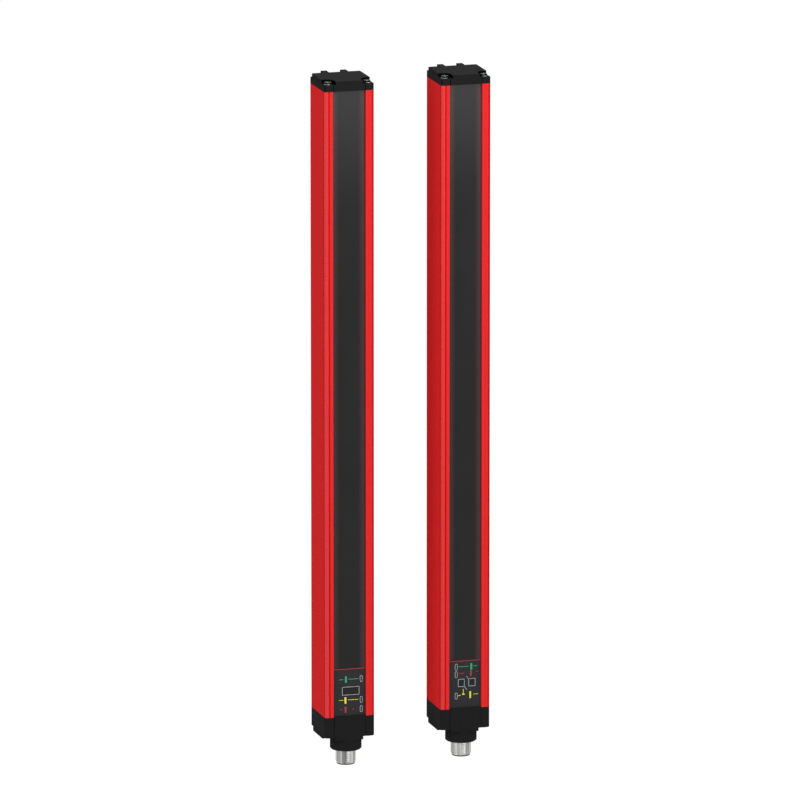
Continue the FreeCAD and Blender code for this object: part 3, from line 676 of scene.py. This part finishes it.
# %% Turned shapes
def turned(radii, heights, turns=96, centre=(0.0, 0.0), wave=None):
    """Carry a profile round a vertical axis.

    x = cx + r cos(angle), y = cy + r sin(angle), z = height. A wave is a function of
    angle and height, and its value is added to the radius.
    """
    angle = np.linspace(0.0, 2.0 * np.pi, turns, endpoint=False)[:, None]
    radius = np.broadcast_to(radii, (turns, len(radii)))
    height = np.broadcast_to(heights, (turns, len(heights)))
    if wave is not None:
        radius = radius + wave(angle, height)
    x = centre[0] + radius * np.cos(angle)
    y = centre[1] + radius * np.sin(angle)
    return np.stack([x, y, height + 0.0 * angle], -1)


print("grid of a two-point profile:", turned([1.0, 1.0], [0.0, 1.0]).shape)

# %% Sizes of the shell, in millimetres
thread_pitch = 1.0
thread_depth = 0.12
thread_radius = 5.65
thread_row_count = 81
neck_radius = 5.45
flange_radius = 7.0
flange_thickness = 1.6
tip_length = 1.75
tip_radius = 5.35
rim_radius = 4.9
rim_height = 0.8
mouth_radius = 4.4
mouth_chamfer_out, mouth_chamfer_up = 0.2, 0.3
rim_play = 0.1
bore_ring_drop = 8.0
shell_turns = 96
shell_sharp_degrees = 50

shell_top = to_mm(shell_high.z)
shell_bottom = to_mm(shell_low.z)
flange_bottom = shell_top - flange_thickness
rim_top = shell_bottom + rim_height
thread_high = to_mm(collar_bottom)
thread_low = shell_bottom + tip_length
print("thread length in mm:", round(thread_high - thread_low, 2))

# %% Connector shells with their thread
def thread_wave(angle, height):
    """Depth times a triangle wave of height over pitch less angle over one turn.

    It fades out over half a pitch at each end of the thread.
    """
    phase = (height / thread_pitch - angle / (2 * np.pi)) % 1.0
    groove = 1.0 - np.abs(2.0 * phase - 1.0)
    fade_low = np.clip((height - thread_low) / (0.5 * thread_pitch), 0.0, 1.0)
    fade_high = np.clip((thread_high - height) / (0.5 * thread_pitch), 0.0, 1.0)
    return -thread_depth * groove * fade_low * fade_high


def on_rim(centres):
    """Faces of the tip's chamfer and of the mouth inside it, which take the painted shade."""
    return centres[:, 2] < rim_top - rim_play


# From the top: flange, neck, thread, tip, and up the bore. One ring on the way up the
# bore keeps its quads from being too long.
profile = np.array(
    [(mouth_radius, shell_top), (flange_radius, shell_top), (flange_radius, flange_bottom),
     (neck_radius, flange_bottom), (neck_radius, thread_high)]
    + [(thread_radius, z) for z in np.linspace(thread_high, thread_low, thread_row_count)]
    + [(tip_radius, thread_low), (tip_radius, rim_top), (rim_radius, shell_bottom),
       (mouth_radius + mouth_chamfer_out, shell_bottom),
       (mouth_radius, shell_bottom + mouth_chamfer_up),
       (mouth_radius, shell_top - bore_ring_drop)])
for bar in bars:
    centre = (to_mm(centre_x[bar]), to_mm(connector_y))
    grid = turned(profile[:, 0], profile[:, 1], shell_turns, centre, thread_wave)
    shell = build(bar + "_threaded_shell", [sheet(grid, True, True)], nickel_plate,
                  shell_sharp_degrees, (rim_shade_nickel, on_rim))
    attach(shell, "root")
    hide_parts(bar + "_connector_shell")

# %% [markdown]
# ## Contact pins with rounded tips
#
# The pins are turned wire with a rounded nose, so that a socket finds them. The CAD
# model keeps them as plain rods. Here a quarter circle ends each rod's profile.

# %% Pins
pin_arc_points = 6
pin_turns = 20
first_pin_angle = np.pi / 4
# Pins round the middle one, the radius of their circle and the radius of a pin, in mm.
pin_patterns = {"receiver": (7, 3.1, 0.4), "emitter": (4, 2.9, 0.5)}


def pin_sheet(x, y, radius, low, high):
    """A rod on a vertical axis whose lower end is a half ball."""
    arc = np.linspace(0.0, np.pi / 2, pin_arc_points)
    radii = np.concatenate([radius * np.sin(arc), [radius, 0.0]])
    heights = np.concatenate([low + radius * (1 - np.cos(arc)), [high, high]])
    return sheet(turned(radii, heights, pin_turns, (x, y)), True, False)


for bar in bars:
    count, circle, radius = pin_patterns[bar]
    low, high = (to_mm(corner.z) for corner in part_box(bar + "_connector_pins"))
    x0, y0 = to_mm(centre_x[bar]), to_mm(connector_y)
    angles = first_pin_angle + 2 * np.pi * np.arange(count) / count
    places = [(x0, y0)] + [(x0 + circle * math.cos(a), y0 + circle * math.sin(a))
                           for a in angles]
    pins = build(bar + "_round_pins",
                 [pin_sheet(x, y, radius, low, high) for x, y in places], gold_plate)
    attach(pins, "root")
    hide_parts(bar + "_connector_pins")

# %% [markdown]
# ## Pan head screws and their washers
#
# A pan head is a low dome with a cross recess. Its top is a surface over the angle
# and the radius: the dome's height, less the recess where the point lies inside one
# of the two crossing slots. The shank carries a coarse thread for plastics and soft
# metal. The heads in the top caps have a taller dome than the ones below. Inside the
# recess the metal is dark, as painted shade, and a thin rubber ring closes the gap
# round each head and covers its lower rim as painted shade.

# %% Sizes of the screws, in millimetres
head_radius = 2.2
head_height = 2.1
crown_radius = head_radius - 0.9
crown_bulge = 0.15
crown_rings = 26
rim_bend = 0.8
rim_rise = 0.45
rim_base = head_height - 0.6
rim_points = 7
dome_rise = 0.9
shank_radius = 1.0
screw_pitch = 0.9
rows_per_pitch = 8
thread_cut = 0.16
recess_half_length = 2.05
recess_half_width = 0.50
recess_depth = 1.2
recess_side_slope = 0.08
recess_end_slope = 0.35
recess_turn = math.radians(28.0)
recess_from = 0.6
print("head of a top screw in mm:", round(head_height + dome_rise, 2), "tall")

# %% One screw
def screw_profile(length, rise):
    """Radii and heights from the tip up the shank, under the head, over it and in.

    The shank's radius follows a triangle wave of height over pitch. The rim is a
    quarter ellipse, and the crown a shallow parabola over the radius.
    """
    rows = np.linspace(0.0, 1.0, int(length / screw_pitch * rows_per_pitch))
    shank_z = -length * (1 - rows)
    shank_r = shank_radius - thread_cut * (1 - np.abs(2 * ((shank_z / screw_pitch) % 1.0) - 1))
    bend = np.linspace(0.0, np.pi / 2, rim_points)
    rim_r = crown_radius + rim_bend * np.cos(bend)
    rim_z = rim_base + (rim_rise + rise) * np.sin(bend)
    crown_r = np.linspace(crown_radius, 0.0, crown_rings)[1:]
    crown_z = rim_z[-1] + crown_bulge * (1 - (crown_r / crown_radius) ** 2)
    radii = np.concatenate([[0.0], shank_r, [head_radius], rim_r, crown_r])
    heights = np.concatenate([[-length], shank_z, [0.0], rim_z, crown_z])
    return radii, heights


def screw_sheet(x, y, seat, tip, up, rise):
    """A pan head screw; up is 1 where the head is on top and -1 where it is below.

    The recess is taken off the height where a point lies inside one of two arms. Its
    side and end slopes run from 0 at the arm's border to 1 a little further in. Only
    points above the lower part of the rim's rise are moved.
    """
    points = turned(*screw_profile(abs(seat - tip), rise))
    cosine, sine = math.cos(recess_turn), math.sin(recess_turn)
    arm_x = np.abs(points[..., 0] * cosine + points[..., 1] * sine)
    arm_y = np.abs(points[..., 1] * cosine - points[..., 0] * sine)
    across = np.minimum(arm_x, arm_y)
    along = np.maximum(arm_x, arm_y)
    side = np.clip((recess_half_width - across) / recess_side_slope, 0.0, 1.0)
    end = np.clip((recess_half_length - along) / recess_end_slope, 0.0, 1.0)
    on_top = points[..., 2] > rim_base + recess_from * rise
    points[..., 2] -= recess_depth * side * end * on_top
    points[..., 2] = seat + up * points[..., 2]
    points[..., 0] += x
    points[..., 1] += y
    return sheet(points, True, False)


print("rings on a crown:", crown_rings)

# %% Washers and the painted shade of the recess
washer_inner, washer_outer = 2.22, 2.42
# Tall enough to cover each head's lower rim, where the dark rubber stands as painted shade.
washer_height = 1.6
washer_turns = 48
chamfer_in, chamfer_down = 0.1, 0.15
washer_profile = np.array(
    [(washer_inner, 0.0), (washer_outer, 0.0), (washer_outer, washer_height - chamfer_down),
     (washer_outer - chamfer_in, washer_height), (washer_inner, washer_height)])
shade_from, shade_to = 0.25, recess_depth + 0.5


def washer_sheet(x, y, seat, up):
    """A flat ring round the head, with a chamfer on its outer edge. Its height also covers the
    head's lower rim, as painted shade.
    """
    heights = seat + up * washer_profile[:, 1]
    return sheet(turned(washer_profile[:, 0], heights, washer_turns, (x, y)), True, True)


def in_recess(centres, heads, y, crown, up):
    """Painted shade: faces that lie well below the crown and near the axis of a head."""
    aside = np.min([np.abs(centres[:, 0] - x) for x in heads], axis=0)
    reach = np.hypot(aside, centres[:, 1] - y)
    sunk = up * (crown - centres[:, 2])
    return (reach < recess_half_length) & (sunk > shade_from) & (sunk < shade_to)


print("washer in mm:", washer_inner, "to", washer_outer, "wide,", washer_height, "high")

# %% Put in the screws and washers
for bar in bars:
    for end, up in (("top", 1), ("bottom", -1)):
        node = bar + "_" + end + "_screws"
        low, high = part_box(node)
        y = to_mm(low.y + high.y) / 2
        heads = (to_mm(low.x) + head_radius, to_mm(high.x) - head_radius)
        outer = to_mm(high.z if up > 0 else low.z)
        tip = to_mm(low.z if up > 0 else high.z)
        seat = outer - up * head_height
        rise = dome_rise if up > 0 else 0.0
        crown = seat + up * (rim_base + rim_rise + rise)
        screws = build(bar + "_" + end + "_pan_heads",
                       [screw_sheet(x, y, seat, tip, up, rise) for x in heads], zinc_plate,
                       zone=(recess_shade_metal,
                             lambda centres: in_recess(centres, heads, y, crown, up)))
        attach(screws, "root")
        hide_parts(node)
        washers = build(bar + "_" + end + "_washers",
                        [washer_sheet(x, y, seat, up) for x in heads], seal_rubber)
        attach(washers, "root")

# %% [markdown]
# ## Printed marks on the indicator panels
#
# The panel's foil is printed with a red line at its top, a thin outline round each
# status light and display, and a coloured bar beside each light. The lettering is
# left off, so only plain bars, rules and outlines stand here. Each mark is a very
# thin closed shape that lies on the foil, made from an outline of points. The inks
# are matte, each an even colour as screen printing leaves it.

# %% Inks
ink_green = finish("green_ink", ("#28A06A", "#23945F"), 0.5, 0.5, 0.001)
ink_yellow = finish("yellow_ink", ("#EBD92E", "#DCCB2B"), 0.5, 0.5, 0.001)
ink_red = finish("red_ink", ("#A3262A", "#982226"), 0.5, 0.5, 0.001)
ink_line_red = finish("dark_red_ink", ("#9E1F27", "#931C24"), 0.5, 0.5, 0.001)
ink_grey = finish("grey_ink", ("#9C9EA0", "#8F9193"), 0.5, 0.5, 0.001)
print("inks:", ink_green.name, ink_yellow.name, ink_red.name, ink_line_red.name, ink_grey.name)

# %% Outlines in the plane of the panel
def rounded_box(width, height, radius, steps=8):
    """Points round a box: four quarter circles about the corner centres."""
    quarter = np.linspace(0.0, np.pi / 2, steps)
    angle = np.concatenate([quarter + turn * np.pi / 2 for turn in range(4)])
    sign_x = np.repeat([1, -1, -1, 1], steps)
    sign_z = np.repeat([1, 1, -1, -1], steps)
    x = sign_x * (width / 2 - radius) + radius * np.cos(angle)
    z = sign_z * (height / 2 - radius) + radius * np.sin(angle)
    return np.stack([x, z], -1)


def polygon(corners, turn_degrees=0.0):
    """A straight-sided outline: its corners, times a rotation matrix."""
    turn = math.radians(turn_degrees)
    return np.array(corners, float) @ np.array([[math.cos(turn), math.sin(turn)],
                                                [-math.sin(turn), math.cos(turn)]])


def placed(outline, x, z, y):
    """Outline points in the panel's plane, moved to (x, z) at depth y."""
    return np.stack([outline[:, 0] + x, np.full(len(outline), y), outline[:, 1] + z], -1)


print("points on a rounded outline:", len(rounded_box(2.0, 1.0, 0.2)))

# %% Outlines to thin solids
ink_thickness = 0.03
smallest_radius = 0.02


def filled_mark(outline, x, z, back):
    """A thin solid: back centre, back outline, front outline, front centre."""
    front_face = back - ink_thickness
    centre = np.tile([[0.0, 0.0]], (len(outline), 1))
    rows = [placed(centre, x, z, back), placed(outline, x, z, back),
            placed(outline, x, z, front_face), placed(centre, x, z, front_face)]
    return sheet(np.stack(rows, 1), True, False)


def ring_mark(width, height, radius, line, x, z, back):
    """A thin closed band between two rounded boxes that are one line width apart."""
    outer = rounded_box(width, height, radius)
    inner = rounded_box(width - 2 * line, height - 2 * line, max(radius - line, smallest_radius))
    front_face = back - ink_thickness
    rows = [placed(inner, x, z, back), placed(outer, x, z, back),
            placed(outer, x, z, front_face), placed(inner, x, z, front_face)]
    return sheet(np.stack(rows, 1), True, True)


print("ink stands", ink_thickness, "mm off the foil")

# %% [markdown]
# ## Layout of the two panels
#
# Each line of the tables is one mark: its kind, the place of its middle and its width
# and height. Places are in millimetres from the bar's centre line and from the lower
# end of its housing. The last number is a ring's corner radius, or the angle that a
# bar or a triangular sign is turned by, in degrees. The three outlines round the
# lights of a bar are alike, so they share one size.

# %% Layout of the two panels
thin = 0.28
outline_width = 0.3
light_width, light_height = 0.9, 3.1
pill_width = light_width + 2 * outline_width
pill = (pill_width, light_height + 2 * outline_width, pill_width / 2 - 0.01)
rule_width, rule_thickness, rule_radius, rule_z = 17.2, 0.35, 0.1, 26.25

receiver_marks = {
    ink_grey: [("ring", 6.7, 20.5, *pill), ("ring", 6.7, 8.8, *pill), ("ring", 6.7, 3.6, *pill),
               ("ring", 0.8, 14.0, 9.7, 4.7, 0.3)],
    ink_green: [("bar", -1.9, 20.45, 1.05, 3.5, 0), ("bar", -4.5, 20.5, 2.2, thin, 0),
                ("bar", 2.4, 20.5, 5.6, thin, 0)],
    ink_yellow: [("bar", -2.2, 8.8, 1.0, 3.6, 0), ("bar", -4.6, 9.0, 2.3, thin, 0),
                 ("bar", 2.2, 9.0, 5.6, thin, 0)],
    ink_red: [("bar", -2.1, 3.65, 1.0, 3.3, 0), ("bar", -4.7, 3.9, 0.9, thin, 0),
              ("bar", 2.2, 3.6, 0.6, 0.6, 45)],
}
emitter_marks = {
    ink_grey: [("ring", -4.8, 23.0, *pill), ("ring", -4.8, 18.8, *pill),
               ("ring", -4.8, 6.8, *pill), ("ring", -1.9, 14.0, 3.7, 4.4, 0.3),
               ("ring", 4.1, 14.0, 3.9, 4.4, 0.3), ("bar", 0.5, 11.0, 2.3, 0.3, -54),
               ("bar", 1.7, 16.7, 2.3, 0.3, -52)],
    ink_green: [("bar", 3.7, 22.8, 1.05, 3.6, 0), ("bar", -0.7, 23.1, 5.6, thin, 0),
                ("bar", 5.9, 23.1, 2.0, thin, 0)],
    ink_red: [("bar", 3.5, 19.1, 0.9, 2.9, 0), ("bar", -1.7, 19.3, 3.2, thin, 0),
              ("bar", 6.9, 19.8, 1.4, thin, 0)],
    ink_yellow: [("bar", 3.15, 7.1, 0.9, 3.8, 0), ("bar", -3.0, 7.0, 1.4, thin, 0),
                 ("bar", 6.2, 7.3, 2.8, thin, 0), ("sign", -0.75, 8.0, 1.7, 1.4, 0),
                 ("bar", -0.75, 9.5, 0.3, 2.0, 0)],
}
print("marks:", sum(map(len, receiver_marks.values())), sum(map(len, emitter_marks.values())))

# %% Print the marks
def mark_sheet(kind, x, z, width, height, extra, back):
    """One mark from a line of the layout, already at its place on the foil."""
    if kind == "ring":
        return ring_mark(width, height, extra, outline_width, x, z, back)
    corners = [(-width / 2, -height / 2), (width / 2, -height / 2)]
    if kind == "sign":
        corners += [(0.0, height / 2)]
    else:
        corners += [(width / 2, height / 2), (-width / 2, height / 2)]
    return filled_mark(polygon(corners, extra), x, z, back)


for bar, marks in (("receiver", receiver_marks), ("emitter", emitter_marks)):
    x0, z0, back = to_mm(centre_x[bar]), to_mm(housing_bottom), to_mm(foil_front)
    for ink, shapes in marks.items():
        sheets = [mark_sheet(kind, x0 + x, z0 + z, width, height, extra, back)
                  for kind, x, z, width, height, extra in shapes]
        piece = build(bar + "_" + ink.name, sheets, ink)
        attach(piece, "root")
    outline = rounded_box(rule_width, rule_thickness, rule_radius)
    piece = build(bar + "_panel_rule", [filled_mark(outline, x0, z0 + rule_z, back)],
                  ink_line_red)
    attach(piece, "root")

# %% [markdown]
# ## Floor, backdrop and light
#
# The bars are shown on white. Rays that come from the camera, or by way of a mirror
# or a clear part, see a white world, while the light that falls on the bars comes
# from a plain grey one and five soft lamps. The floor lies well below and keeps a
# faint shadow. Four of the lamps are hidden from mirrors, and the fifth stands where
# it gives the panes their pale sheen.

# %% World
room_light = 0.42
backdrop_light = 1.0


def seen_directly(tree):
    """1 for rays from the camera, a mirror or a clear part, and 0 for the rest."""
    rays = add(tree, "ShaderNodeLightPath")
    seen = add(tree, "ShaderNodeMath", links={0: rays.outputs["Is Camera Ray"],
                                              1: rays.outputs["Is Glossy Ray"]},
               operation="MAXIMUM")
    seen = add(tree, "ShaderNodeMath", links={0: seen.outputs[0],
                                              1: rays.outputs["Is Transmission Ray"]},
               operation="MAXIMUM")
    return seen.outputs[0]


world = bpy.data.worlds.new("studio")
bpy.context.scene.world = world
tree = fresh_tree(world)
seen = seen_directly(tree)
room = add(tree, "ShaderNodeBackground", {"Color": linear("#FFFFFF"), "Strength": room_light})
backdrop = add(tree, "ShaderNodeBackground",
               {"Color": linear("#FFFFFF"), "Strength": backdrop_light})
both = add(tree, "ShaderNodeMixShader", links={0: seen, 1: room.outputs[0],
                                               2: backdrop.outputs[0]})
add(tree, "ShaderNodeOutputWorld", links={"Surface": both.outputs[0]})
print("world:", room_light, "on the bars and", backdrop_light, "where it is seen")

# %% Floor
floor_drop = 0.20
floor_reach = 6.0
glow_strength = 1.0 / 0.9
glow_share = 0.85

floor_z = cad_low.z - floor_drop
floor_mesh = bpy.data.meshes.new("floor")
floor_mesh.from_pydata(
    [(-floor_reach, -floor_reach, floor_z), (floor_reach, -floor_reach, floor_z),
     (floor_reach, floor_reach, floor_z), (-floor_reach, floor_reach, floor_z)],
    [], [(0, 1, 2, 3)])
floor_paint = bpy.data.materials.new("white_floor")
tree = fresh_tree(floor_paint)
seen = seen_directly(tree)
matte = add(tree, "ShaderNodeBsdfDiffuse", {"Color": linear("#F4F4F4")})
glow = add(tree, "ShaderNodeEmission",
           {"Color": linear("#FFFFFF"), "Strength": glow_strength})
shine = add(tree, "ShaderNodeMath", {1: glow_share}, {0: seen}, operation="MULTIPLY")
mixed = add(tree, "ShaderNodeMixShader", links={0: shine.outputs[0], 1: matte.outputs[0],
                                                2: glow.outputs[0]})
add(tree, "ShaderNodeOutputMaterial", links={"Surface": mixed.outputs[0]})
floor_mesh.materials.append(floor_paint)
floor = bpy.data.objects.new("floor", floor_mesh)
bpy.context.scene.collection.objects.link(floor)
print("floor lies", round(to_mm(floor_drop)), "mm below the connectors")

# %% Lamps
def soft_lamp(name, place, target, width, height, power, mirrored=False):
    """A rectangular area lamp that faces a target; a mirrored one shows in gloss."""
    data = bpy.data.lights.new(name, "AREA")
    data.shape = "RECTANGLE"
    data.size = width
    data.size_y = height
    data.energy = power
    lamp = bpy.data.objects.new(name, data)
    lamp.visible_glossy = mirrored
    lamp.location = place
    lamp.rotation_euler = (Vector(target) - Vector(place)).to_track_quat("-Z", "Y").to_euler()
    bpy.context.scene.collection.objects.link(lamp)
    print("lamp:", name, power, "W")
    return lamp


soft_lamp("key", (0.20, -1.0, 0.68), (0.03, 0.0, 0.08), 0.5, 0.5, 5.0)
soft_lamp("fill", (-1.2, -0.6, 0.35), (0.03, 0.0, 0.05), 0.8, 0.8, 6.0)
soft_lamp("back", (0.5, 1.3, 0.8), (0.03, 0.0, 0.0), 0.8, 0.8, 8.0)
soft_lamp("overhead", (0.03, -0.25, 0.62), (0.03, 0.0, 0.17), 0.3, 0.3, 1.1)
soft_lamp("window sheen", (0.28, -0.87, 0.15), (0.03, 0.0, 0.18), 0.5, 0.36, 1.6, True)
bpy.context.scene.view_settings.view_transform = "Standard"
